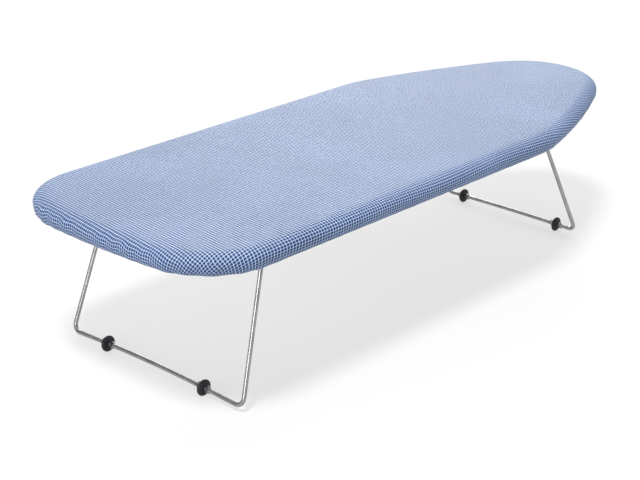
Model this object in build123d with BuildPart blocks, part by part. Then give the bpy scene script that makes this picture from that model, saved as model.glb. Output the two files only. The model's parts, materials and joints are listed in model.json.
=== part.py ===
from build123d import *
from math import asin, atan, cos, degrees, radians, sin, tan
import os

# Tabletop ironing board: a perforated steel deck in a rolled edge channel, two cross rails
# that carry the pivot brackets of two folding wire legs, and a foam pad under a fitted
# woven cover. The nose points to +X, the table is Z = 0 and the origin is the middle of the
# footprint. "Left" is +Y. All sizes are in millimetres.

# ---------------------------------------------------------------- driving dimensions
# Board, measured over its cover
board_length = 831.0
board_width = 323.0
board_top = 190.0           # ironing surface above the table
board_depth = 22.6          # top of the cover to its underside

# Plan outline, from the tip of the nose back to the wide end
tip_radius = 88.0
tip_turn = 36.0
shoulder_radius = 107.0
shoulder_turn = 28.0
flank_turn = 10.0           # slightly convex flanks between shoulder and knee
knee_radius = 168.0         # where the flanks turn into the parallel sides
corner_radius = 87.0        # rear corners
end_bow_radius = 1165.0     # the wide end is very slightly bowed

# Layers, from the outside in
cover_thickness = 0.6
pad_thickness = 6.0
deck_thickness = 0.6
steel_inset = 9.0           # cover outline to the steel edge: the pad wraps over it
top_edge_radius = 12.0
hem_edge_radius = 4.6

# Rolled edge channel and deck perforation
channel_thickness = 0.8
channel_lip = 6.0
vent_diameter = 6.0
vent_pitch = 20.0
vent_margin = 24.0          # solid band round the edge of the deck, from the cover outline

# Hem of the cover
casing_width = 6.0
casing_height = 2.8
elastic_width = 4.4
elastic_thickness = 1.6

# Cross rails (shallow inverted channels)
rail_width = 30.0
rail_thickness = 1.0
rail_depth = 4.0

# Leg wire, feet and pivots
wire_diameter = 4.8
foot_diameter = 18.4
foot_thickness = 3.8
foot_flat = 0.3             # the rubber is flattened this much where it stands
foot_spacing = 77.0         # foot centre to the middle of the board
corner_bend_radius = 9.0
pivot_bend_radius = 8.0
pivot_height = 173.0
hole_clearance = 0.08       # radial, pivot stub in its bracket
moving_gap = 0.4            # between faces that move past each other

# Each leg: where its corners stand, its lean, its half widths, and how far the bottom bar
# arches up between its corners
wide_leg = dict(bar_x=-343.0, lean=17.2, bottom=135.9, top=118.4, rise=3.6, side=1)
nose_leg = dict(bar_x=299.4, lean=21.0, bottom=107.2, top=78.6, rise=1.5, side=-1)
arch_half = 95.0            # the arch runs this far each side of the middle, then straight

# Crimped ears that hold a foot in place on the bar
ear_width = 8.4
ear_thickness = 2.2
ear_length = 5.4
ear_gap = 1.8               # foot face to the ear
ear_corner_radius = 1.4

# Pivot brackets, their rivets, the caps on the pivot stubs
bracket_thickness = 1.5
bracket_length = 26.0
cheek_width = 14.0
cheek_gap = 6.5             # between the two cheeks
cheek_standoff = 8.8        # upright centre line to the inner cheek
stop_reach = 13.0           # how far down the leg the stop tab holds it
stop_length = 5.0
stop_gap = 0.3
rivet_diameter = 3.2
rivet_head_diameter = 5.6
rivet_head_height = 1.3
rivet_cap_diameter = 7.0
rivet_cap_height = 0.5
rivet_spacing = 17.0
cap_diameter = 9.0
cap_thickness = 2.0

# Snap clips that hold each leg when it is folded
clip_width = 12.0
clip_thickness = 0.8
clip_jaw_gap = 5.6
clip_flare = 3.0

# ---------------------------------------------------------------- derived sizes
half_length = board_length / 2
half_width = board_width / 2
board_bottom = board_top - board_depth
lining_bottom = board_bottom + cover_thickness
lining_top = board_top - cover_thickness
deck_top = lining_top - pad_thickness
deck_bottom = deck_top - deck_thickness
wire_radius = wire_diameter / 2
foot_height = foot_diameter / 2 - foot_flat
casing_inset = steel_inset + channel_lip + 0.6
rail_web_bottom = deck_bottom - rail_thickness
base_bottom = rail_web_bottom - bracket_thickness

flank_start = tip_turn + shoulder_turn
flank_end = flank_start + flank_turn
knee_turn = 90 - flank_end
# The flank's radius is the one that closes the outline at the full half width
flank_radius = (
    half_width
    - knee_radius * (1 - sin(radians(flank_end)))
    - (tip_radius - shoulder_radius) * sin(radians(tip_turn))
    - shoulder_radius * sin(radians(flank_start))
) / (sin(radians(flank_end)) - sin(radians(flank_start)))

bow_turn = degrees(asin((half_width - corner_radius) / (end_bow_radius - corner_radius)))
corner_x = -half_length + end_bow_radius - (end_bow_radius - corner_radius) * cos(radians(bow_turn))

for leg in (wide_leg, nose_leg):
    lean = radians(leg["lean"])
    # The bar's arch: its turn each side, its radius, and how high a foot sits on it
    leg["arch_turn"] = atan(leg["rise"] / (leg["bottom"] - arch_half / 2))
    leg["arch_radius"] = arch_half / sin(leg["arch_turn"])
    leg["foot_turn"] = asin(foot_spacing / leg["arch_radius"])
    leg["foot_up"] = leg["rise"] - leg["arch_radius"] * (1 - cos(leg["foot_turn"]))
    leg["bar_z"] = foot_height - leg["foot_up"] * cos(lean)
    leg["length"] = (pivot_height - leg["bar_z"]) / cos(lean)
    leg["pivot_x"] = leg["bar_x"] + leg["side"] * leg["length"] * sin(lean)
    leg["up"] = Vector(leg["side"] * sin(lean), 0, cos(lean))
    leg["out"] = Vector(-leg["side"] * cos(lean), 0, sin(lean))
    leg["stub_end"] = (
        leg["top"] + cheek_standoff + 2 * bracket_thickness + cheek_gap + moving_gap + cap_thickness + 0.4
    )
    leg["rivet_y"] = leg["top"] + cheek_standoff + bracket_thickness + cheek_gap / 2
    leg["clip_x"] = leg["pivot_x"] + leg["side"] * (leg["length"] - leg["rise"])

os.makedirs("parts", exist_ok=True)


def save(part, name):
    """Label a finished piece and write it under its own name."""
    part.label = name
    export_step(part, f"parts/{name}.step")


def foot_centre(leg, hand):
    """Centre of a foot on its leg's arched bar; hand is 1 for left, -1 for right."""
    return Vector(leg["bar_x"], hand * foot_spacing, leg["bar_z"]) + leg["up"] * leg["foot_up"]


def foot_axis(leg, hand):
    """Direction of the bar through a foot, outward along the bar."""
    return Vector(0, hand * cos(leg["foot_turn"]), 0) - leg["up"] * sin(leg["foot_turn"])


def board_outline(inset=0.0):
    """Plan outline of the covered board, moved in by inset."""
    with BuildSketch() as plan:
        with BuildLine():
            tip = JernArc((half_length, 0), (0, 1), tip_radius, tip_turn)
            shoulder = JernArc(tip @ 1, tip % 1, shoulder_radius, shoulder_turn)
            flank = JernArc(shoulder @ 1, shoulder % 1, flank_radius, flank_turn)
            knee = JernArc(flank @ 1, flank % 1, knee_radius, knee_turn)
            side = Line(knee @ 1, (corner_x, half_width))
            corner = JernArc(side @ 1, (-1, 0), corner_radius, 90 - bow_turn)
            JernArc(corner @ 1, corner % 1, end_bow_radius, bow_turn)
            mirror(about=Plane.XZ)
        make_face()
        if inset:
            offset(amount=-inset)
    return plan.sketch


def slab(inset, bottom, top):
    """A flat plate of the board's outline between two heights."""
    with BuildPart() as plate:
        with BuildSketch(Plane.XY.offset(bottom)):
            add(board_outline(inset))
        extrude(amount=top - bottom)
    return plate.part


def pillow(inset):
    """The covered board's outer form, moved in by inset on every face."""
    with BuildPart() as form:
        add(slab(inset, board_bottom + inset, board_top - inset))
        fillet(form.edges().group_by(Axis.Z)[-1], top_edge_radius - inset)
        fillet(form.edges().group_by(Axis.Z)[0], hem_edge_radius - inset)
    return form.part


# ---------------------------------------------------------------- rivet positions
bracket_rivet_spots = [
    (leg["pivot_x"] + end * rivet_spacing / 2, hand * leg["rivet_y"])
    for leg in (wide_leg, nose_leg)
    for end in (-1, 1)
    for hand in (-1, 1)
]
rail_rivet_spots = [(leg["pivot_x"], hand * 40.0) for leg in (wide_leg, nose_leg) for hand in (-1, 1)]
clip_rivet_spots = [(leg["clip_x"], 0.0) for leg in (wide_leg, nose_leg)]
rivet_spots = bracket_rivet_spots + rail_rivet_spots + clip_rivet_spots


def rivets(spots, head_top):
    """Domed rivets up through the deck, head_top being the plate face under the dome."""
    with BuildPart() as group:
        with BuildSketch(Plane.XY.offset(head_top)):
            with Locations(*spots):
                Circle(rivet_diameter / 2)
        extrude(amount=deck_top - head_top)
        with BuildSketch(Plane.XY.offset(deck_top)):
            with Locations(*spots):
                Circle(rivet_cap_diameter / 2)
        extrude(amount=rivet_cap_height)
        with BuildSketch(Plane.XY.offset(head_top)) as heads:
            with Locations(*spots):
                Circle(rivet_head_diameter / 2)
        extrude(amount=-rivet_head_height)
        fillet(group.edges().group_by(Axis.Z)[0], rivet_head_height - 0.2)
    return group.part


# ---------------------------------------------------------------- deck and edge channel
vent_zone = board_outline(vent_margin).face()
row_pitch = vent_pitch * sin(radians(60))
rows = int(half_width / row_pitch)
columns = int(half_length / vent_pitch)


def keeps_clear(x, y):
    """True where a vent would miss the rails and the clip rivets."""
    off_rails = all(abs(x - leg["pivot_x"]) > rail_width / 2 + vent_diameter for leg in (wide_leg, nose_leg))
    off_clips = all(max(abs(x - cx), abs(y - cy)) > vent_pitch / 2 for cx, cy in clip_rivet_spots)
    return off_rails and off_clips


vent_spots = []
for row in range(-rows, rows + 1):
    for column in range(-columns, columns + 1):
        vent_x = (column + row % 2 / 2) * vent_pitch
        vent_y = row * row_pitch
        if vent_zone.is_inside((vent_x, vent_y, 0)) and keeps_clear(vent_x, vent_y):
            vent_spots.append((vent_x, vent_y))

with BuildPart() as deck_panel:
    with BuildSketch(Plane.XY.offset(deck_bottom)):
        add(board_outline(steel_inset))
        with Locations(*vent_spots):
            Circle(vent_diameter / 2, mode=Mode.SUBTRACT)
        with Locations(*rivet_spots):
            Circle(rivet_diameter / 2, mode=Mode.SUBTRACT)
    extrude(amount=deck_thickness)
save(deck_panel.part, "deck_panel")

with BuildPart() as edge_channel:
    add(slab(steel_inset, lining_bottom, deck_bottom))
    add(slab(steel_inset + channel_lip, lining_bottom, deck_bottom), mode=Mode.SUBTRACT)
    add(
        slab(
            steel_inset + channel_thickness,
            lining_bottom + channel_thickness,
            deck_bottom - channel_thickness,
        ),
        mode=Mode.SUBTRACT,
    )
save(edge_channel.part, "edge_channel")

# ---------------------------------------------------------------- cross rails
for leg, name in ((wide_leg, "wide_end_rail"), (nose_leg, "nose_end_rail")):
    leg_rivets = [spot for spot in rivet_spots if abs(spot[0] - leg["pivot_x"]) < rail_width / 2]
    with BuildPart() as rail:
        with Locations((leg["pivot_x"], 0, deck_bottom)):
            Box(rail_width, board_width, rail_depth, align=(Align.CENTER, Align.CENTER, Align.MAX))
        with Locations((leg["pivot_x"], 0, rail_web_bottom)):
            Box(
                rail_width - 2 * rail_thickness,
                board_width,
                rail_depth,
                align=(Align.CENTER, Align.CENTER, Align.MAX),
                mode=Mode.SUBTRACT,
            )
        add(slab(steel_inset + channel_lip + 0.2, board_bottom, deck_bottom), mode=Mode.INTERSECT)
        with BuildSketch(Plane.XY.offset(deck_bottom)):
            with Locations(*leg_rivets):
                Circle(rivet_diameter / 2)
        extrude(amount=-rail_thickness, mode=Mode.SUBTRACT)
    save(rail.part, name)

# ---------------------------------------------------------------- pivot brackets
for leg, end_name in ((wide_leg, "wide"), (nose_leg, "nose")):
    inner_y = leg["top"] + cheek_standoff + bracket_thickness / 2
    outer_y = inner_y + bracket_thickness + cheek_gap
    pivot = Vector(leg["pivot_x"], 0, pivot_height)
    for hand, hand_name in ((1, "left"), (-1, "right")):
        with BuildPart() as bracket:
            # Base, riveted up into the cross rail
            with BuildSketch(Plane.XY.offset(base_bottom)):
                with Locations((leg["pivot_x"], hand * (inner_y + outer_y) / 2)):
                    RectangleRounded(bracket_length, outer_y - inner_y + bracket_thickness, 3)
                with Locations(*bracket_rivet_spots):
                    Circle(rivet_diameter / 2, mode=Mode.SUBTRACT)
            extrude(amount=bracket_thickness)
            # Two cheeks with the pivot hole
            for cheek_y in (inner_y, outer_y):
                with BuildSketch(Plane.XZ.offset(-hand * cheek_y)):
                    with Locations((leg["pivot_x"], pivot_height)):
                        Circle(cheek_width / 2)
                        Rectangle(cheek_width, base_bottom - pivot_height + 0.5, align=(Align.CENTER, Align.MIN))
                extrude(amount=bracket_thickness / 2, both=True)
            # The inner cheek runs down the leg to a tab that stops the leg when it is open
            tab_out = wire_radius + stop_gap
            tongue_width = cheek_width / 2 + tab_out + bracket_thickness
            tongue = pivot - leg["up"] * stop_reach / 2 + leg["out"] * (tongue_width / 2 - cheek_width / 2 + 2.5)
            with Locations(Plane(tongue + Vector(0, hand * inner_y, 0), x_dir=(0, 1, 0), z_dir=leg["out"])):
                Box(bracket_thickness, stop_reach, tongue_width - 2.5)
            tab_y = (leg["top"] - wire_radius + inner_y) / 2
            tab = (
                pivot
                - leg["up"] * (stop_reach - stop_length / 2)
                + leg["out"] * (tab_out + bracket_thickness / 2)
                + Vector(0, hand * tab_y, 0)
            )
            with Locations(Plane(tab, x_dir=(0, 1, 0), z_dir=leg["out"])):
                Box(inner_y - leg["top"] + wire_radius, stop_length, bracket_thickness)
            with BuildSketch(Plane.XZ):
                with Locations((leg["pivot_x"], pivot_height)):
                    Circle(wire_radius + hole_clearance)
            extrude(amount=board_width, both=True, mode=Mode.SUBTRACT)
        save(bracket.part, f"{end_name}_bracket_{hand_name}")

save(rivets(bracket_rivet_spots, base_bottom), "bracket_rivets")
save(rivets(rail_rivet_spots, rail_web_bottom), "rail_rivets")

# ---------------------------------------------------------------- folded-leg clips
for leg, name in ((wide_leg, "wide_leg_clip"), (nose_leg, "nose_leg_clip")):
    jaw_top = deck_bottom
    jaw_bottom = pivot_height - wire_radius
    with BuildPart() as clip:
        with BuildSketch(Plane.XZ):
            with BuildLine():
                jaw_x = leg["clip_x"] + clip_jaw_gap / 2 + clip_thickness / 2
                spine = Polyline(
                    (leg["clip_x"], jaw_top - clip_thickness / 2),
                    (jaw_x, jaw_top - clip_thickness / 2),
                    (jaw_x, jaw_bottom),
                    (jaw_x + clip_flare, jaw_bottom - clip_flare),
                )
                mirror(about=Plane.YZ.offset(leg["clip_x"]))
            trace(line_width=clip_thickness)
        extrude(amount=clip_width / 2, both=True)
        with BuildSketch(Plane.XY.offset(jaw_top)):
            with Locations((leg["clip_x"], 0)):
                Circle(rivet_diameter / 2)
        extrude(amount=-2 * clip_thickness, mode=Mode.SUBTRACT)
    save(clip.part, name)

save(rivets(clip_rivet_spots, deck_bottom - clip_thickness), "clip_rivets")

# ---------------------------------------------------------------- pad and cover
with BuildPart() as foam_pad:
    add(pillow(cover_thickness))
    add(slab(steel_inset, board_bottom, deck_top), mode=Mode.SUBTRACT)
    with BuildSketch(Plane.XY.offset(deck_top)):
        with Locations(*rivet_spots):
            Circle(rivet_cap_diameter / 2)
    extrude(amount=rivet_cap_height, mode=Mode.SUBTRACT)
save(foam_pad.part, "foam_pad")

with BuildPart() as cover:
    add(pillow(0))
    add(pillow(cover_thickness), mode=Mode.SUBTRACT)
    add(slab(casing_inset, board_bottom - 1, board_bottom + 2 * cover_thickness), mode=Mode.SUBTRACT)
save(cover.part, "cover")

elastic_inset = casing_inset + (casing_width - elastic_width) / 2
elastic_bottom = board_bottom + (casing_height - elastic_thickness) / 2

with BuildPart() as hem_elastic:
    add(slab(elastic_inset, elastic_bottom, elastic_bottom + elastic_thickness))
    add(
        slab(elastic_inset + elastic_width, elastic_bottom, elastic_bottom + elastic_thickness),
        mode=Mode.SUBTRACT,
    )
save(hem_elastic.part, "hem_elastic")

with BuildPart() as hem_casing:
    add(slab(casing_inset, board_bottom, board_bottom + casing_height))
    add(
        slab(casing_inset + casing_width, board_bottom, board_bottom + casing_height),
        mode=Mode.SUBTRACT,
    )
    add(hem_elastic.part, mode=Mode.SUBTRACT)
save(hem_casing.part, "hem_casing")

# ---------------------------------------------------------------- legs and feet
for leg, end_name in ((wide_leg, "wide"), (nose_leg, "nose")):
    bar_centre = Vector(leg["bar_x"], 0, leg["bar_z"])
    leg_plane = Plane(bar_centre, x_dir=(0, 1, 0), z_dir=-leg["out"] * leg["side"])
    with BuildPart() as wire:
        with BuildLine(leg_plane):
            crown = JernArc((0, leg["rise"]), (1, 0), leg["arch_radius"], -degrees(leg["arch_turn"]))
            FilletPolyline(
                crown @ 1,
                crown @ 1 + (crown % 1) * ((leg["bottom"] - arch_half) / cos(leg["arch_turn"])),
                (leg["top"], leg["length"]),
                (leg["stub_end"], leg["length"]),
                radius=[corner_bend_radius, pivot_bend_radius],
            )
        with BuildSketch(Plane(crown @ 0, z_dir=(0, 1, 0))):
            Circle(wire_radius)
        sweep()
        # Crimped ears each side of the foot, pressed thin in the plane of the leg
        for ear_side in (-1, 1):
            ear_along = ear_side * (foot_thickness / 2 + ear_gap + ear_length / 2)
            ear_place = Plane(
                foot_centre(leg, 1) + foot_axis(leg, 1) * ear_along,
                x_dir=foot_axis(leg, 1),
                z_dir=leg["out"],
            )
            with Locations(ear_place):
                Box(ear_length, wire_diameter, wire_diameter, mode=Mode.SUBTRACT)
            with BuildSketch(ear_place):
                RectangleRounded(ear_length, ear_width, ear_corner_radius)
            extrude(amount=ear_thickness / 2, both=True)
        mirror(about=Plane.XZ)
    save(wire.part, f"{end_name}_leg_wire")

    for hand, hand_name in ((1, "left"), (-1, "right")):
        foot_place = Plane(foot_centre(leg, hand), z_dir=foot_axis(leg, hand))
        with BuildPart() as foot:
            with BuildSketch(foot_place):
                Circle(foot_diameter / 2)
            extrude(amount=foot_thickness / 2, both=True)
            fillet(foot.edges(), foot_thickness / 2 - 0.2)
            with BuildSketch(foot_place):
                Circle(wire_radius)
            extrude(amount=foot_thickness, both=True, mode=Mode.SUBTRACT)
            split(bisect_by=Plane.XY, keep=Keep.TOP)
        save(foot.part, f"{end_name}_foot_{hand_name}")

    cap_start = leg["stub_end"] - 0.4 - cap_thickness
    with BuildPart() as caps:
        with BuildSketch(Plane.XZ.offset(-cap_start)):
            with Locations((leg["pivot_x"], pivot_height)):
                Circle(cap_diameter / 2)
                Circle(wire_radius, mode=Mode.SUBTRACT)
        extrude(amount=-cap_thickness)
        fillet(caps.edges().group_by(Axis.Y)[-1].sort_by(SortBy.RADIUS)[-1], 0.8)
        mirror(about=Plane.XZ)
    save(caps.part, f"{end_name}_leg_caps")
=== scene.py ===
"""Looks for the tabletop ironing board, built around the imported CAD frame.

The steel, the legs and the feet are the CAD nodes with procedural finishes. The padding, the
fitted cover and its gathered hem are meshes made here, in metres, in the same frame.
"""
import json
from math import asin, cos, pi, radians, sin

import bpy
import numpy as np
from mathutils import Matrix, Vector


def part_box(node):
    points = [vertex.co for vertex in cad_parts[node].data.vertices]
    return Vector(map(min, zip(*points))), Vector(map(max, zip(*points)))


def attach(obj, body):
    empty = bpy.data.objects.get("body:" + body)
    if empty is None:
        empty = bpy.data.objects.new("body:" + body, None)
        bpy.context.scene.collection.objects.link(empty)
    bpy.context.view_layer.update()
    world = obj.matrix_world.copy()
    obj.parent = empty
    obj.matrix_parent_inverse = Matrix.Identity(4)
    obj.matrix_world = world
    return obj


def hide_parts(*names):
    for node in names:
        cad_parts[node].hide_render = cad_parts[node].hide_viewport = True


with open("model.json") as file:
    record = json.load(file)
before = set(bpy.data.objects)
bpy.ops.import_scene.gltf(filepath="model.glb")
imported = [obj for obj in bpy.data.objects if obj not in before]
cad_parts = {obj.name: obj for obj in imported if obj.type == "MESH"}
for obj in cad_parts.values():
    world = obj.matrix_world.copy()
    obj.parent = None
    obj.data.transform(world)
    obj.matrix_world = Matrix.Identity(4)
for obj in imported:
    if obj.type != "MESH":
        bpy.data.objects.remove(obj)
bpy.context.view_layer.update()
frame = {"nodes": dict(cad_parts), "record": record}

# ---------------------------------------------------------------- the board's sizes, in metres
cover_low, cover_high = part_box("cover")
HALF_LENGTH = cover_high.x
HALF_WIDTH = cover_high.y
TOP = cover_high.z
BOTTOM = cover_low.z
STEEL_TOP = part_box("deck_panel")[1].z
STEEL_INSET = HALF_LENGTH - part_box("deck_panel")[1].x
CASING_OUT = HALF_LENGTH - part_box("hem_casing")[1].x
CASING_WIDTH = 0.006
CASING_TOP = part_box("hem_casing")[1].z

TIP_RADIUS, TIP_TURN = 0.088, radians(36)
SHOULDER_RADIUS, SHOULDER_TURN = 0.107, radians(28)
FLANK_TURN = radians(10)
KNEE_RADIUS = 0.168
CORNER_RADIUS = 0.087
END_BOW_RADIUS = 1.165

# Section of the padded edge: a wide soft rounding above its middle, a tight one below
EDGE_MIDDLE = (TOP + BOTTOM) / 2
EDGE_HALF_DEPTH = (TOP - BOTTOM) / 2
TOP_ROUNDING = 0.018
LOW_ROUNDING = 0.0047


# ---------------------------------------------------------------- outline
ROUNDING_ERROR = 1e-9


def half_outline():
    """One side of the outline from the tip to the wide end: (radius, turn), or (None, length)."""
    shoulder_end = TIP_TURN + SHOULDER_TURN
    flank_end = shoulder_end + FLANK_TURN
    flank_radius = (
        HALF_WIDTH
        - KNEE_RADIUS * (1 - sin(flank_end))
        - (TIP_RADIUS - SHOULDER_RADIUS) * sin(TIP_TURN)
        - SHOULDER_RADIUS * sin(shoulder_end)
    ) / (sin(flank_end) - sin(shoulder_end))
    bow_turn = asin((HALF_WIDTH - CORNER_RADIUS) / (END_BOW_RADIUS - CORNER_RADIUS))
    corner_x = -HALF_LENGTH + END_BOW_RADIUS - (END_BOW_RADIUS - CORNER_RADIUS) * cos(bow_turn)
    stretches = [
        (TIP_RADIUS, TIP_TURN),
        (SHOULDER_RADIUS, SHOULDER_TURN),
        (flank_radius, FLANK_TURN),
        (KNEE_RADIUS, pi / 2 - flank_end),
    ]
    x, heading = HALF_LENGTH, pi / 2
    for radius, turn in stretches:
        x += radius * (sin(heading + turn) - sin(heading))
        heading += turn
    stretches.append((None, x - corner_x))
    stretches.append((CORNER_RADIUS, pi / 2 - bow_turn))
    stretches.append((END_BOW_RADIUS, bow_turn))
    return stretches


def outline(count):
    """count points evenly round the outline, with their outward normals and curvatures."""
    stretches = half_outline()
    lengths = [size if radius is None else radius * size for radius, size in stretches]
    half = count // 2
    along = np.linspace(0, sum(lengths), half + 1)
    points, normals, curvatures = np.zeros((half + 1, 2)), np.zeros((half + 1, 2)), np.zeros(half + 1)
    start, passed, heading = np.array([HALF_LENGTH, 0.0]), 0.0, pi / 2
    for (radius, size), length in zip(stretches, lengths):
        here = (along >= passed - ROUNDING_ERROR) & (along <= passed + length + ROUNDING_ERROR)
        run = along[here] - passed
        if radius is None:
            points[here] = start + run[:, None] * [cos(heading), sin(heading)]
            angle = np.full(len(run), heading)
            start = start + length * np.array([cos(heading), sin(heading)])
        else:
            angle = heading + run / radius
            points[here, 0] = start[0] + radius * (np.sin(angle) - sin(heading))
            points[here, 1] = start[1] - radius * (np.cos(angle) - cos(heading))
            end = heading + size
            start = start + radius * np.array([sin(end) - sin(heading), cos(heading) - cos(end)])
            curvatures[here] = 1 / radius
            heading = end
        normals[here] = np.stack([np.sin(angle), -np.cos(angle)], 1)
        passed += length
    back = slice(half - 1, 0, -1)
    points = np.concatenate([points, points[back] * [1, -1]])
    normals = np.concatenate([normals, normals[back] * [1, -1]])
    curvatures = np.concatenate([curvatures, curvatures[back]])
    return points, normals, curvatures


def smoothed(values, span):
    """A closed loop of values averaged over span neighbours, twice."""
    window = np.ones(span) / span
    for _ in range(2):
        padded = np.concatenate([values[-span:], values, values[:span]])
        values = np.convolve(padded, window, "same")[span:-span]
    return values


def smoothstep(low, high, values):
    """0 up to low and 1 beyond high, with a smooth change between; low may be the larger one."""
    share = np.clip((values - low) / (high - low), 0, 1)
    return share * share * (3 - 2 * share)


# ---------------------------------------------------------------- meshes made of loops
def skin(loops, spine):
    """Faces through a list of closed loops, each as long as the one before it or half as long.

    The spine closes the last loop: a line of points from the tip to the wide end, which both
    sides of the loop share. Returns the points and the faces.
    """
    points, faces, starts = [], [], []
    total = 0
    for loop in loops:
        starts.append(total)
        points.append(loop)
        total += len(loop)
    for here, there, a, b in zip(loops, loops[1:], starts, starts[1:]):
        if len(here) == len(there):
            for i in range(len(here)):
                j = (i + 1) % len(here)
                faces.append((a + i, a + j, b + j, b + i))
        else:
            for i in range(len(there)):
                j = (i + 1) % len(there)
                left, middle, right = a + 2 * i, a + 2 * i + 1, a + (2 * i + 2) % len(here)
                faces.append((left, middle, b + i))
                faces.append((middle, right, b + j, b + i))
    points.append(spine)
    start, count = starts[-1], len(loops[-1])
    for i in range(count):
        j = (i + 1) % count
        near = (start + i, start + j)
        far = tuple(total + min(k, count - k) for k in (j, i))
        faces.append(near + (far[:1] if far[0] == far[1] else far))
    return np.concatenate(points), faces


def mesh_object(name, points, faces, cloth=None):
    """A smooth-shaded object; cloth gives each point's place on the flat cloth, in metres."""
    mesh = bpy.data.meshes.new(name)
    mesh.from_pydata([tuple(map(float, p)) for p in points], [], faces)
    if cloth is not None:
        layer = mesh.uv_layers.new(name="cloth")
        corner_points = np.zeros(len(mesh.loops), np.int32)
        mesh.loops.foreach_get("vertex_index", corner_points)
        layer.data.foreach_set("uv", cloth[corner_points].astype(np.float32).ravel())
    mesh.polygons.foreach_set("use_smooth", np.ones(len(mesh.polygons), bool))
    mesh.update()
    piece = bpy.data.objects.new(name, mesh)
    bpy.context.scene.collection.objects.link(piece)
    return piece


def raised(plan, height):
    """Plan points with a height, given as one number or one for each point."""
    return np.column_stack([plan, np.broadcast_to(height, len(plan))])


SPINE_TIP, SPINE_END = 0.30, -0.28


def spine_points(count):
    """The middle line that the loops of the flat top and underside close on."""
    along = np.linspace(SPINE_TIP, SPINE_END, count // 2 + 1)
    return np.column_stack([along, np.zeros(len(along))])


def towards_spine(plan, share):
    """A loop moved part of the way to the spine."""
    half = spine_points(len(plan))
    target = np.concatenate([half, half[-2:0:-1]])
    return plan * (1 - share) + target * share


INNER_SHARES = (0.05, 0.13, 0.25, 0.4, 0.58, 0.78)
HALVINGS = 4


def inner_loops(plan):
    """Loops from the edge towards the middle; each of the first HALVINGS has half the points."""
    loops = []
    for k, share in enumerate(INNER_SHARES):
        plan_here = plan[:: 2 ** min(k + 1, HALVINGS)]
        loops.append(towards_spine(plan_here, share))
    return loops


# ---------------------------------------------------------------- section of the padded edge
def edge_section(under, grow=0.0, rows=(7, 10, 13)):
    """The section from the underside round to the flat top, moved out by grow.

    It starts at the inset under, and rows counts its points on the underside, the low
    rounding and the top rounding. Returns each point's inset from the outline, its height, the
    outward normal in the section, and the cloth's distance beyond the flat top's edge.
    """
    flat_rows, low_rows, top_rows = rows
    depth = EDGE_HALF_DEPTH + grow
    inset, height, normal = [], [], []
    for share in np.linspace(0, 1, flat_rows, endpoint=False):
        inset.append(under + (LOW_ROUNDING - under) * share)
        height.append(EDGE_MIDDLE - depth)
        normal.append((0, -1))
    for turn in np.linspace(0, pi / 2, low_rows, endpoint=False):
        across = LOW_ROUNDING + grow
        inset.append(LOW_ROUNDING - across * sin(turn))
        height.append(EDGE_MIDDLE - depth * cos(turn))
        normal.append((depth * sin(turn), -across * cos(turn)))
    for turn in np.linspace(0, pi / 2, top_rows):
        across = TOP_ROUNDING + grow
        inset.append(TOP_ROUNDING - across * cos(turn))
        height.append(EDGE_MIDDLE + depth * sin(turn))
        normal.append((depth * cos(turn), across * sin(turn)))
    inset, height, normal = np.array(inset), np.array(height), np.array(normal)
    normal = normal / np.linalg.norm(normal, axis=1)[:, None]
    steps = np.hypot(np.diff(inset), np.diff(height))
    beyond = np.concatenate([np.cumsum(steps[::-1])[::-1], [0]])
    return inset, height, normal, beyond


# ---------------------------------------------------------------- unevenness of cloth and pad
rng = np.random.default_rng(12)
LOOP_SINES, LOOP_SUM_SIZE = 9, 3
PLAN_SINES, PLAN_SUM_SIZE = 5, 2.2
PLAN_WAVE_STEP = 0.23       # each wave of the plan noise is longer by this share of the first
FOLDS_TO_A_CHANGE = 5       # about how many folds pass before their width has changed
NARROWEST_FOLD, WIDEST_FOLD = 0.4, 2
FOLD_UNEVENNESS = 0.35


def loop_noise(count, waves):
    """A smooth closed loop of noise, about -1 to 1, with roughly that many waves."""
    share = np.arange(count) / count
    total = np.zeros(count)
    numbers = rng.integers(max(1, waves // 2), waves * 3 // 2 + 1, LOOP_SINES)
    for number, phase in zip(numbers, rng.uniform(0, 2 * pi, LOOP_SINES)):
        total += np.sin(2 * pi * number * share + phase)
    return total / LOOP_SUM_SIZE


def wave_phases():
    """A direction and a phase for each wave of a plan noise."""
    return [tuple(pair) for pair in rng.uniform(0, 2 * pi, (PLAN_SINES, 2))]


def plan_noise(x, y, wavelength, phases):
    """Smooth noise over the plan, about -1 to 1."""
    total = 0
    for k, (angle, phase) in enumerate(phases):
        wave = 2 * pi / (wavelength * (1 + PLAN_WAVE_STEP * k))
        total = total + np.sin(wave * (x * cos(angle) + y * sin(angle)) + phase)
    return total / PLAN_SUM_SIZE


SWELL_PHASES = wave_phases()
DRAW_PHASES = wave_phases()
SLIP_PHASES = wave_phases()
PUCKER_PHASES = wave_phases()


def fold_phase(count, folds):
    """The running phase of the folds round the hem, with folds of uneven width."""
    width = 1 + FOLD_UNEVENNESS * loop_noise(count, folds // FOLDS_TO_A_CHANGE)
    phase = np.cumsum(1 / np.clip(width, NARROWEST_FOLD, WIDEST_FOLD))
    return phase / phase[-1] * 2 * pi * folds


# ---------------------------------------------------------------- the fitted cover
COVER_COLUMNS = 1280
CURVATURE_SPAN = 17
CLOTH_THICKNESS = 0.0005
HEM_OVERLAP = 0.0008
HEM_INSET = CASING_OUT + HEM_OVERLAP
DRAWN_EVERYWHERE = 0.05     # how much the elastic gathers even the straight sides

# Sharp folds at the hem and slack waves of the cloth on the edge above it
FOLD_COUNT, FOLD_HEIGHT = 176, 0.0042
FOLD_SHARPNESS = 0.8
FOLD_VARIATION, FOLD_CHANGES = 0.28, 60
FOLD_LOST_INWARD = 0.45
DRAPE_COUNT, DRAPE_HEIGHT = 78, 0.0012
DRAPE_VARIATION, DRAPE_CHANGES = 0.3, 40
DRAPE_LOST_AT_HEM = 0.8

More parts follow.
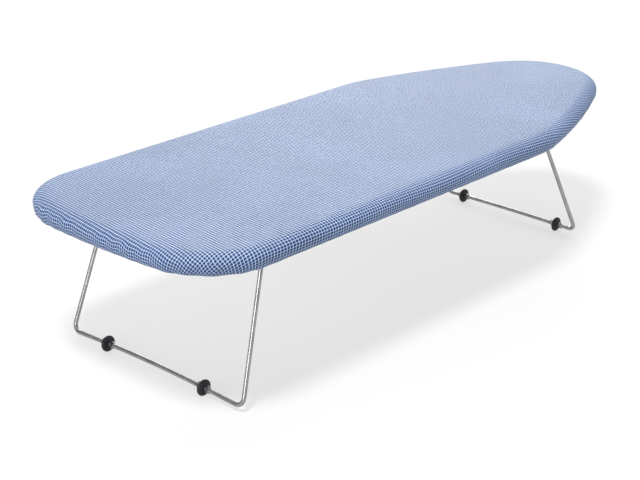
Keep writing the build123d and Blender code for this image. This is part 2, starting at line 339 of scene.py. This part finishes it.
# Hollows of the pad under the flat top, which is where the section's normal points up
SWELL_DEPTH, SWELL_WAVELENGTH = 0.00022, 0.13
POINTING_UP = 0.99

# Small puckers round the wide end, which run along the board more than across it
PUCKER_START, PUCKER_FULL = -0.345, -0.400
PUCKER_WAVELENGTH, PUCKER_LENGTHWISE = 0.019, 0.3
PUCKER_HEIGHT, PUCKER_PULL = 0.00035, 0.0011
PUCKER_BASE, PUCKER_PEAK = 0.4, 1.2

SKEW, SKEW_START, SKEW_FULL = 0.11, -0.16, -0.40
DRAWN_ON_TOP, MORE_AT_EDGE = 0.0006, 0.0011
DRAW_WAVELENGTH, SLIP_WAVELENGTH = 0.16, 0.13

# Distances along the cloth from the flat top's edge between which each of these sets in
EDGE_SETS_IN = (0.004, 0.022)
DRAPE_SETS_IN = (0.010, 0.030)
FOLDS_SET_IN = (0.0345, 0.0450)

plan, outward, curvature = outline(COVER_COLUMNS)
spacing = sum(s if r is None else r * s for r, s in half_outline()) * 2 / COVER_COLUMNS
curvature = smoothed(curvature, CURVATURE_SPAN)
section_inset, section_height, section_normal, beyond = edge_section(HEM_INSET)
cut_margin = beyond[0] - TOP_ROUNDING

fold = np.abs(np.sin(fold_phase(COVER_COLUMNS, FOLD_COUNT) / 2)) ** FOLD_SHARPNESS
fold *= 1 - FOLD_VARIATION + FOLD_VARIATION * loop_noise(COVER_COLUMNS, FOLD_CHANGES)
drape = 0.5 + 0.5 * np.sin(fold_phase(COVER_COLUMNS, DRAPE_COUNT))
drape *= 1 - DRAPE_VARIATION + DRAPE_VARIATION * loop_noise(COVER_COLUMNS, DRAPE_CHANGES)


def surplus(offset, inset):
    """How much longer the cloth is than the loop it lies on, as a share."""
    return (1 + curvature * offset) / (1 - curvature * inset) - 1 + DRAWN_EVERYWHERE


def hem_fold(share_in=0.0):
    """How far the hem's folds stand off, at the hem's outer edge or further in."""
    gathered = np.sqrt(np.clip(surplus(cut_margin, HEM_INSET), 0, 1))
    return FOLD_HEIGHT * gathered * fold * (1 - FOLD_LOST_INWARD * share_in)


def top_swell(points):
    """Slight hollows of the pad under the flat top: never above it."""
    noise = plan_noise(points[:, 0], points[:, 1], SWELL_WAVELENGTH, SWELL_PHASES)
    return SWELL_DEPTH * (1 + np.clip(noise, -1, 1))


def puckers(flat):
    """Noise about -1 to 1 where the hem pulls the cloth uneven: round the wide end."""
    x, y = flat[:, 0], flat[:, 1]
    noise = plan_noise(PUCKER_LENGTHWISE * x, y, PUCKER_WAVELENGTH, PUCKER_PHASES)
    return smoothstep(PUCKER_START, PUCKER_FULL, x) * noise


def cloth_place(flat, edge_share=0.0):
    """Where each point lies on the flat cloth, with the weave drawn slightly out of true."""
    x, y = flat[:, 0], flat[:, 1]
    skewed = SKEW * smoothstep(SKEW_START, SKEW_FULL, x)
    unevenness = DRAWN_ON_TOP + MORE_AT_EDGE * edge_share
    drawn = unevenness * plan_noise(x, y, DRAW_WAVELENGTH, DRAW_PHASES)
    slipped = unevenness * plan_noise(x, y, SLIP_WAVELENGTH, SLIP_PHASES)
    pulled = PUCKER_PULL * edge_share**2 * puckers(flat)
    return np.column_stack([x - skewed * y + drawn + pulled, y + slipped])


loops, cloth = [], []
for inset, height, normal, out in zip(section_inset, section_height, section_normal, beyond):
    offset = out - TOP_ROUNDING
    low = smoothstep(*DRAPE_SETS_IN, out)
    lower = smoothstep(*FOLDS_SET_IN, out)
    slack = np.sqrt(np.clip(surplus(offset, inset), 0, 1))
    lift = DRAPE_HEIGHT * slack * drape * low * (1 - DRAPE_LOST_AT_HEM * lower)
    lift += hem_fold() * lower
    lift += PUCKER_HEIGHT * low * (1 - lower) * np.clip(PUCKER_BASE + puckers(plan), 0, PUCKER_PEAK)
    loop = plan - outward * (inset - lift * normal[0])[:, None]
    hollow = top_swell(loop) * (normal[1] > POINTING_UP)
    loops.append(raised(loop, height + lift * normal[1] - hollow))
    cloth.append(cloth_place(plan + outward * offset, smoothstep(*EDGE_SETS_IN, out)))
edge_plan = plan - outward * TOP_ROUNDING
for loop in inner_loops(edge_plan):
    loops.append(raised(loop, TOP - top_swell(loop)))
    cloth.append(cloth_place(loop))
spine = spine_points(len(loops[-1]))
cloth.append(cloth_place(spine))
points, faces = skin(loops, raised(spine, TOP - top_swell(spine)))
cover = mesh_object("fitted_cover", points, faces, np.concatenate(cloth))
cloth_layers = cover.modifiers.new("cloth_thickness", "SOLIDIFY")
cloth_layers.thickness = CLOTH_THICKNESS
cloth_layers.offset = -1

# ---------------------------------------------------------------- the padding under it
PAD_COLUMNS = 640
PAD_ROWS, PAD_WALL_ROWS = (4, 8, 11), 5
PAD_CLEARANCE = 0.0009
STEEL_SIDE_GAP, STEEL_TOP_GAP = 0.0001, 0.00005
pad_plan, pad_outward, _ = outline(PAD_COLUMNS)
pad_side = STEEL_INSET + STEEL_SIDE_GAP
pad_inset, pad_height, _, _ = edge_section(pad_side, -PAD_CLEARANCE, PAD_ROWS)
pad_under = STEEL_TOP + STEEL_TOP_GAP
under_edge = pad_plan - pad_outward * pad_side
wall_heights = np.linspace(pad_under, pad_height[0], PAD_WALL_ROWS, endpoint=False)
pad_wall = [raised(under_edge, height) for height in wall_heights]
pad_outer = [raised(pad_plan - pad_outward * inset, height) for inset, height in zip(pad_inset, pad_height)]
pad_top_edge = pad_plan - pad_outward * TOP_ROUNDING
pad_top = [raised(loop, TOP - PAD_CLEARANCE - top_swell(loop)) for loop in inner_loops(pad_top_edge)]
pad_spine = spine_points(len(pad_top[-1]))
pad_top_spine = raised(pad_spine, TOP - PAD_CLEARANCE - top_swell(pad_spine))
upper_points, upper_faces = skin(pad_wall + pad_outer + pad_top, pad_top_spine)
under_loops = [raised(loop, pad_under) for loop in [under_edge, *inner_loops(under_edge)]]
under_points, under_faces = skin(under_loops, raised(pad_spine, pad_under))
# The underside shares its outer loop with the wall's first loop, and faces down
shift = len(upper_points) - PAD_COLUMNS
under_faces = [
    tuple(reversed([i if i < PAD_COLUMNS else i + shift for i in face])) for face in under_faces
]
pad_points = np.concatenate([upper_points, under_points[PAD_COLUMNS:]])
pad = mesh_object("padding", pad_points, upper_faces + under_faces)

# ---------------------------------------------------------------- the gathered hem
CASING_SIDES = 18
CASING_SQUARENESS = 0.7     # below 1, the rounded section comes closer to a rectangle
PUFF_UNDER, PUFF_OVER = 0.5, 0.3
TAPE_RADIUS = 0.0024
casing_middle = (BOTTOM + CASING_TOP) / 2
casing_half_height = (CASING_TOP - BOTTOM) / 2
along_tape = np.arange(COVER_COLUMNS) * spacing
casing_loops, casing_cloth = [], []
for side in range(CASING_SIDES):
    turn = 2 * pi * side / CASING_SIDES
    across = np.sign(cos(turn)) * abs(cos(turn)) ** CASING_SQUARENESS
    upward = np.sign(sin(turn)) * abs(sin(turn)) ** CASING_SQUARENESS
    share_in = (1 - across) / 2
    inset = CASING_OUT + CASING_WIDTH * share_in
    if upward < 0:
        puff = -hem_fold(share_in) * abs(upward) ** PUFF_UNDER
    else:
        puff = PUFF_OVER * hem_fold(share_in) * upward
    height = casing_middle + casing_half_height * upward + puff
    casing_loops.append(raised(plan - outward * inset, height))
    casing_cloth.append(np.column_stack([along_tape, np.full(COVER_COLUMNS, turn * TAPE_RADIUS)]))
casing_faces = []
for side in range(CASING_SIDES):
    here, there = side * COVER_COLUMNS, (side + 1) % CASING_SIDES * COVER_COLUMNS
    for i in range(COVER_COLUMNS):
        j = (i + 1) % COVER_COLUMNS
        casing_faces.append((here + i, there + i, there + j, here + j))
casing_points = np.concatenate(casing_loops)
hem = mesh_object("gathered_hem", casing_points, casing_faces, np.concatenate(casing_cloth))


# ---------------------------------------------------------------- procedural finishes
# Places of the sockets of a colour mix, and of the object output of texture coordinates
MIX_SHARE, MIX_A, MIX_B, MIX_RESULT = 0, 6, 7, 2
OBJECT_PLACE = 3


class Finish:
    """A procedural material round one Principled shader, plain until nodes are fed into it."""

    def __init__(self, name, colour, roughness, **constants):
        self.material = bpy.data.materials.new(name)
        self.material.use_nodes = True
        self.tree = self.material.node_tree
        self.shader = self.tree.nodes["Principled BSDF"]
        self.paint(colour)
        self.feed(self.shader.inputs["Roughness"], roughness)
        for socket, value in constants.items():
            self.feed(self.shader.inputs[socket.replace("_", " ")], value)

    def feed(self, socket, source):
        if isinstance(source, bpy.types.NodeSocket):
            self.tree.links.new(source, socket)
        elif isinstance(source, tuple) and len(source) == 3 and socket.type == "RGBA":
            socket.default_value = (*source, 1)
        else:
            socket.default_value = source

    def add(self, kind, inputs, output=0, **settings):
        """A node with its inputs fed and its properties set; returns one of its outputs."""
        node = self.tree.nodes.new(kind)
        for key, value in settings.items():
            setattr(node, key, value)
        for socket, source in inputs.items():
            self.feed(node.inputs[socket], source)
        return node.outputs[output]

    def math(self, operation, a, b=0.0):
        return self.add("ShaderNodeMath", {0: a, 1: b}, operation=operation)

    def ramp(self, value, low, high, to_low=0.0, to_high=1.0):
        inputs = {"Value": value, "From Min": low, "From Max": high, "To Min": to_low, "To Max": to_high}
        return self.add("ShaderNodeMapRange", inputs, interpolation_type="SMOOTHSTEP")

    def mix(self, share, a, b, blend="MIX"):
        inputs = {MIX_SHARE: share, MIX_A: a, MIX_B: b}
        return self.add("ShaderNodeMix", inputs, MIX_RESULT, data_type="RGBA", blend_type=blend)

    def place(self, scale=(1, 1, 1)):
        """Object coordinates, which are the frame's, stretched by scale."""
        where = self.add("ShaderNodeTexCoord", {}, OBJECT_PLACE)
        return self.add("ShaderNodeMapping", {"Vector": where, "Scale": scale})

    def noise(self, scale, detail=3.0, rough=0.5, stretch=(1, 1, 1)):
        inputs = {"Vector": self.place(stretch), "Scale": scale, "Detail": detail, "Roughness": rough}
        return self.add("ShaderNodeTexNoise", inputs)

    def grey(self, value):
        return self.add("ShaderNodeCombineColor", {0: value, 1: value, 2: value})

    def bump(self, height, depth):
        inputs = {"Height": height, "Distance": depth, "Strength": 1.0}
        self.feed(self.shader.inputs["Normal"], self.add("ShaderNodeBump", inputs))

    def paint(self, colour):
        self.feed(self.shader.inputs["Base Color"], colour)


# The check: its pitch along and across the board, and its lines' share of the pitch
CHECK_PITCH = (0.00375, 0.0032)
LINE_SHARE, LINE_SOFTNESS = 0.15, 0.03
SECOND_LINE = 0.86          # how strong every second line is beside its neighbours
YARNS = 11                  # yarns in one pitch of the check
YARN_RELIEF, SLUB_RELIEF = 0.35, 0.5
SLUB_SHARE = 0.25           # how much the thick and thin places of the yarn change the colour
NAVY = (0.005, 0.020, 0.078)
LINE_BLUE = (0.395, 0.499, 0.656)
LINE_PALE = (0.485, 0.585, 0.745)


def cover_cotton():
    """A woven check of pale lines on blue squares, laid out on the flat cloth."""
    gloss = {"Specular_IOR_Level": 0.26, "Sheen_Weight": 0.03, "Sheen_Roughness": 0.5}
    f = Finish("cover_cotton", NAVY, 0.6, **gloss)
    cloth_uv = f.add("ShaderNodeUVMap", {}, uv_map="cloth")
    where = f.add("ShaderNodeSeparateXYZ", {0: cloth_uv})
    axis = where.node.outputs
    lines, waves = [], []
    for k in (0, 1):
        checks = f.math("MULTIPLY", axis[k], 1 / CHECK_PITCH[k])
        within = f.math("ABSOLUTE", f.math("SUBTRACT", f.math("FRACT", checks), 0.5))
        edge = 0.5 - LINE_SHARE / 2
        line = f.ramp(within, edge - LINE_SOFTNESS, edge + LINE_SOFTNESS)
        in_pair = f.math("FRACT", f.math("MULTIPLY", checks, 0.5))
        pair = f.math("ABSOLUTE", f.math("SUBTRACT", in_pair, 0.5))
        lines.append(f.math("MULTIPLY", line, f.ramp(pair, 0.2, 0.3, SECOND_LINE, 1.0)))
        waves.append(f.math("COSINE", f.math("MULTIPLY", checks, 2 * pi * YARNS)))
    either = f.math("MAXIMUM", lines[0], lines[1])
    crossing = f.math("MULTIPLY", lines[0], lines[1])
    colour = f.mix(either, NAVY, LINE_BLUE)
    colour = f.mix(crossing, colour, LINE_PALE)
    slub = f.noise(900, detail=2.0, stretch=(1, 0.15, 1))
    colour = f.mix(SLUB_SHARE, colour, f.grey(slub), "OVERLAY")
    cloud = f.noise(9)
    tone = f.ramp(cloud, 0.3, 0.7, 0.93, 1.06)
    f.paint(f.mix(1.0, colour, f.grey(tone), "MULTIPLY"))
    yarns = f.math("MULTIPLY", waves[0], waves[1])
    ribs = f.math("ADD", f.math("MULTIPLY", yarns, YARN_RELIEF), either)
    relief = f.math("ADD", ribs, f.math("MULTIPLY", slub, SLUB_RELIEF))
    f.bump(relief, depth=0.00006)
    return f.material


# The tape's rows per metre across it, its twill in radians per metre along it, and the
# distance that the zigzag shifts the twill along within a row
TAPE_ROWS, TAPE_WAVES, TAPE_ZIGZAG = 260, 9000, 0.006


def hem_tape():
    """Herringbone tape, laid out along and across the casing."""
    f = Finish("hem_tape", (0.3, 0.36, 0.55), 0.85, Sheen_Weight=0.2, Specular_IOR_Level=0.25)
    cloth_uv = f.add("ShaderNodeUVMap", {}, uv_map="cloth")
    where = f.add("ShaderNodeSeparateXYZ", {0: cloth_uv})
    along, across = where.node.outputs[0], where.node.outputs[1]
    row = f.math("FRACT", f.math("MULTIPLY", across, TAPE_ROWS))
    zigzag = f.math("MULTIPLY", f.math("ABSOLUTE", f.math("SUBTRACT", row, 0.5)), TAPE_ZIGZAG)
    twill = f.math("SINE", f.math("MULTIPLY", f.math("ADD", along, zigzag), TAPE_WAVES))
    fuzz = f.noise(700)
    shade = f.ramp(f.math("ADD", f.math("MULTIPLY", twill, 0.25), fuzz), 0.2, 0.9)
    f.paint(f.mix(shade, (0.10, 0.13, 0.26), (0.25, 0.30, 0.47)))
    f.bump(f.math("ADD", twill, f.math("MULTIPLY", fuzz, 0.8)), depth=0.00008)
    return f.material


def pad_felt():
    """Matted fibres with paler clumps."""
    f = Finish("pad_felt", (0.80, 0.78, 0.72), 0.95, Sheen_Weight=0.4, Specular_IOR_Level=0.2)
    fibres = f.noise(420, detail=6.0, rough=0.7)
    clumps = f.noise(60, detail=4.0)
    fleck = f.ramp(fibres, 0.35, 0.7)
    colour = f.mix(fleck, (0.62, 0.60, 0.54), (0.84, 0.82, 0.77))
    f.paint(f.mix(f.ramp(clumps, 0.45, 0.75, 0, 0.35), colour, (0.70, 0.69, 0.66)))
    f.bump(f.math("ADD", fibres, clumps), depth=0.0006)
    return f.material


def deck_enamel():
    """Off-white enamel with a fine orange peel."""
    f = Finish("deck_enamel", (0.80, 0.80, 0.77), 0.35, Coat_Weight=0.2, Coat_Roughness=0.2)
    peel = f.noise(900, detail=2.0)
    cloud = f.noise(14, detail=4.0)
    f.paint(f.mix(f.ramp(cloud, 0.35, 0.7), (0.74, 0.74, 0.71), (0.83, 0.83, 0.80)))
    f.feed(f.shader.inputs["Roughness"], f.ramp(cloud, 0.3, 0.7, 0.30, 0.45))
    f.bump(peel, depth=0.00008)
    return f.material


def plated(name, dark, light, roughness, grain_scale, grain_depth, stretch=(1, 1, 1)):
    """Bare or plated steel with a cloudy finish and fine scratches."""
    f = Finish(name, light, roughness, Metallic=1.0, Specular_Tint=(0.35, 0.35, 0.35))
    cloud = f.noise(55, detail=4.0, rough=0.6)
    grain = f.noise(grain_scale, rough=0.6, stretch=stretch)
    f.paint(f.mix(f.ramp(cloud, 0.3, 0.7), dark, light))
    worn = f.math("ADD", f.math("MULTIPLY", cloud, 0.6), f.math("MULTIPLY", grain, 0.4))
    f.feed(f.shader.inputs["Roughness"], f.ramp(worn, 0.3, 0.7, roughness * 0.85, roughness * 1.2))
    f.bump(grain, depth=grain_depth)
    return f.material


def foot_rubber():
    """Black rubber with a faint bloom and fine pores."""
    f = Finish("foot_rubber", (0.012, 0.012, 0.013), 0.5, Specular_IOR_Level=0.28)
    bloom = f.noise(160, detail=4.0, rough=0.6)
    pores = f.noise(1600, detail=2.0)
    f.paint(f.mix(f.ramp(bloom, 0.35, 0.75), (0.008, 0.008, 0.009), (0.024, 0.024, 0.026)))
    f.feed(f.shader.inputs["Roughness"], f.ramp(bloom, 0.3, 0.7, 0.48, 0.68))
    f.bump(pores, depth=0.00005)
    return f.material


def knitted_elastic():
    """Pale ribbed elastic."""
    f = Finish("elastic", (0.86, 0.86, 0.83), 0.8, Sheen_Weight=0.2)
    ribs = f.add("ShaderNodeTexWave", {"Vector": f.place(), "Scale": 900.0}, bands_direction="Z")
    fuzz = f.noise(1200)
    f.paint(f.mix(fuzz, (0.78, 0.78, 0.75), (0.9, 0.9, 0.88)))
    f.bump(f.math("ADD", ribs, fuzz), depth=0.0001)
    return f.material


finishes = {
    "cover_cotton": cover_cotton(),
    "hem_tape": hem_tape(),
    "pad_felt": pad_felt(),
    "deck_enamel": deck_enamel(),
    "foot_rubber": foot_rubber(),
    "elastic": knitted_elastic(),
}
# Steels: dark and light colour, roughness, scale and depth of the grain, and its stretch
for steel_name, *steel in (
    ("zinc_steel", (0.52, 0.53, 0.54), (0.70, 0.71, 0.71), 0.34, 1400, 0.00004),
    ("rivet_steel", (0.58, 0.58, 0.58), (0.74, 0.74, 0.74), 0.30, 1800, 0.00003),
    ("spring_steel", (0.30, 0.31, 0.34), (0.46, 0.47, 0.50), 0.28, 1500, 0.00003, (1, 0.1, 1)),
    ("leg_wire", (0.31, 0.31, 0.31), (0.39, 0.39, 0.385), 0.26, 900, 0.000003),
):
    finishes[steel_name] = plated(steel_name, *steel)

for part in frame["record"]["subparts"]:
    materials = frame["nodes"][part["node"]].data.materials
    materials.clear()
    materials.append(finishes[part["material_slot"]])

for piece, slot_name, node_name in (
    (cover, "cover_cotton", "cover"),
    (pad, "pad_felt", "foam_pad"),
    (hem, "hem_tape", "hem_casing"),
):
    piece.data.materials.append(finishes[slot_name])
    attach(piece, "board")
    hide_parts(node_name)

# ---------------------------------------------------------------- floor, light and camera
FLOOR_REACH = 9
floor_corners = [(x * FLOOR_REACH, y * FLOOR_REACH, 0) for x, y in ((-1, -1), (1, -1), (1, 1), (-1, 1))]
floor_mesh = bpy.data.meshes.new("floor")
floor_mesh.from_pydata(floor_corners, [], [(0, 1, 2, 3)])
floor = bpy.data.objects.new("floor", floor_mesh)
bpy.context.scene.collection.objects.link(floor)
floor_glow = {"Emission_Color": (1.0, 0.993, 0.986), "Emission_Strength": 0.605}
floor_paint = Finish("floor_paint", (0.19, 0.19, 0.19), 0.9, Specular_IOR_Level=0.0, **floor_glow)
floor_mesh.materials.append(floor_paint.material)

world = bpy.data.worlds.new("studio")
bpy.context.scene.world = world
world.use_nodes = True
background = world.node_tree.nodes["Background"]
background.inputs["Color"].default_value = (0.85, 0.92, 1.05, 1)
background.inputs["Strength"].default_value = 0.46


def softbox(name, place, target, size, power, colour, reflected=True):
    """A rectangular light; one that isn't reflected lights the board and leaves no highlight."""
    lamp = bpy.data.lights.new(name, "AREA")
    lamp.color = colour
    lamp.shape = "RECTANGLE"
    lamp.size, lamp.size_y = size
    lamp.energy = power
    box = bpy.data.objects.new(name, lamp)
    bpy.context.scene.collection.objects.link(box)
    box.visible_glossy = reflected
    box.location = place
    box.rotation_euler = (Vector(target) - Vector(place)).to_track_quat("-Z", "Y").to_euler()


# The fills light the cover's edge, and the strip is what the upright wires mirror
BOARD_MIDDLE = (0, 0, 0.15)
softbox("key", (-1.85, -0.70, 4.9), (0, 0, 0.1), (1.1, 1.1), 352, (1.0, 0.98, 0.94))
softbox("overhead", (0.75, 0.65, 2.0), (0.1, 0.1, 0.1), (1.8, 1.4), 16, (1.0, 0.99, 0.97))
softbox("end fill", (-3.35, 0.3, 0.9), BOARD_MIDDLE, (2.4, 1.3), 50, (0.78, 0.87, 1.0), False)
softbox("strip", (-3.4, -0.9, 0.9), BOARD_MIDDLE, (0.85, 1.8), 54, (0.96, 0.975, 1.0))
softbox("side fill", (1.6, -3.05, 0.9), BOARD_MIDDLE, (2.6, 1.3), 69, (0.80, 0.88, 1.0), False)
softbox("back", (1.9, 1.75, 1.25), (0, 0, 0.19), (1.8, 1.2), 54, (1.0, 0.97, 0.92))

CAMERA_PLACE = (-1.3811, -1.1943, 0.8025)
CAMERA_YAW, CAMERA_PITCH, CAMERA_ROLL = radians(42.52), radians(22.33), radians(0.39)
SENSOR_WIDTH, LENS, FARTHEST_SEEN = 36, 91.21, 50
level_reach = cos(CAMERA_PITCH)
forward = Vector((cos(CAMERA_YAW) * level_reach, sin(CAMERA_YAW) * level_reach, -sin(CAMERA_PITCH)))
level = Vector((sin(CAMERA_YAW), -cos(CAMERA_YAW), 0))
upright = level.cross(forward)
right = level * cos(CAMERA_ROLL) + upright * sin(CAMERA_ROLL)
up = -level * sin(CAMERA_ROLL) + upright * cos(CAMERA_ROLL)
camera_data = bpy.data.cameras.new("camera")
camera_data.sensor_width = SENSOR_WIDTH
camera_data.lens = LENS
camera_data.clip_end = FARTHEST_SEEN
camera = bpy.data.objects.new("camera", camera_data)
bpy.context.scene.collection.objects.link(camera)
camera_turn = Matrix((right, up, -forward)).transposed().to_4x4()
camera.matrix_world = Matrix.Translation(CAMERA_PLACE) @ camera_turn
bpy.context.scene.camera = camera
bpy.context.scene.view_settings.view_transform = "Standard"
